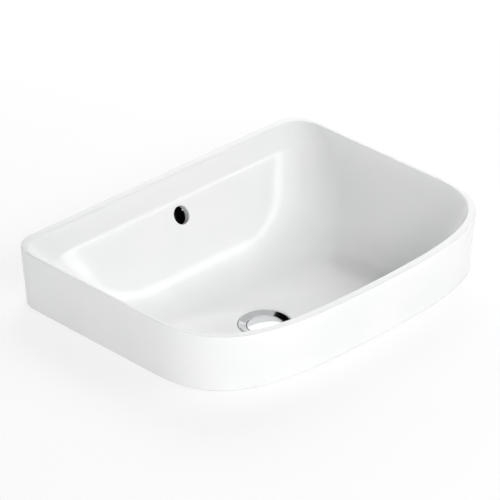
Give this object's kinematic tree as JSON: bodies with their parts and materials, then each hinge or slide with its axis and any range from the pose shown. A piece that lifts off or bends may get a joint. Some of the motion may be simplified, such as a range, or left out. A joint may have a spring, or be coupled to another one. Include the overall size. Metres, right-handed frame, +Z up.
{
  "type": "countertop basin",
  "caption": "Drop-in countertop basin: rounded-rectangle rim and skirt in glazed ceramic, hanging bowl with rear overflow, and a chrome click waste with a lifting plug.",
  "frame": {"origin": "plan centre of the basin on the countertop plane, where the skirt's foot rests", "axes": "+Z up, +Y to the rear (overflow side), +X to the right seen from the front"},
  "size_m": [0.5, 0.385, 0.2086],
  "materials": {
    "glazed_ceramic": "white vitreous china with a clear gloss glaze",
    "chrome": "polished chrome plate on brass",
    "seal_rubber": "matt black EPDM rubber",
    "brass": "turned brass",
    "spring_steel": "drawn stainless wire",
    "nylon": "natural nylon"
  },
  "bodies": {
    "basin": {"basin_body": "glazed_ceramic", "waste_body": "chrome", "flange_seal": "seal_rubber", "click_spring": "spring_steel", "click_housing": "brass", "latch_pin": "spring_steel", "cone_washer": "seal_rubber", "slip_washer": "nylon", "backnut": "brass"},
    "plug": {"plug_cap": "chrome", "plug_seal": "seal_rubber", "plug_stud": "brass", "click_plunger": "brass"}
  },
  "joints": [
    {"name": "plug_slide", "type": "slide", "parent": "basin", "child": "plug", "axis": [0, 0, 1], "range_m": [0, 0.009], "deforming": ["click_spring"]}
  ]
}
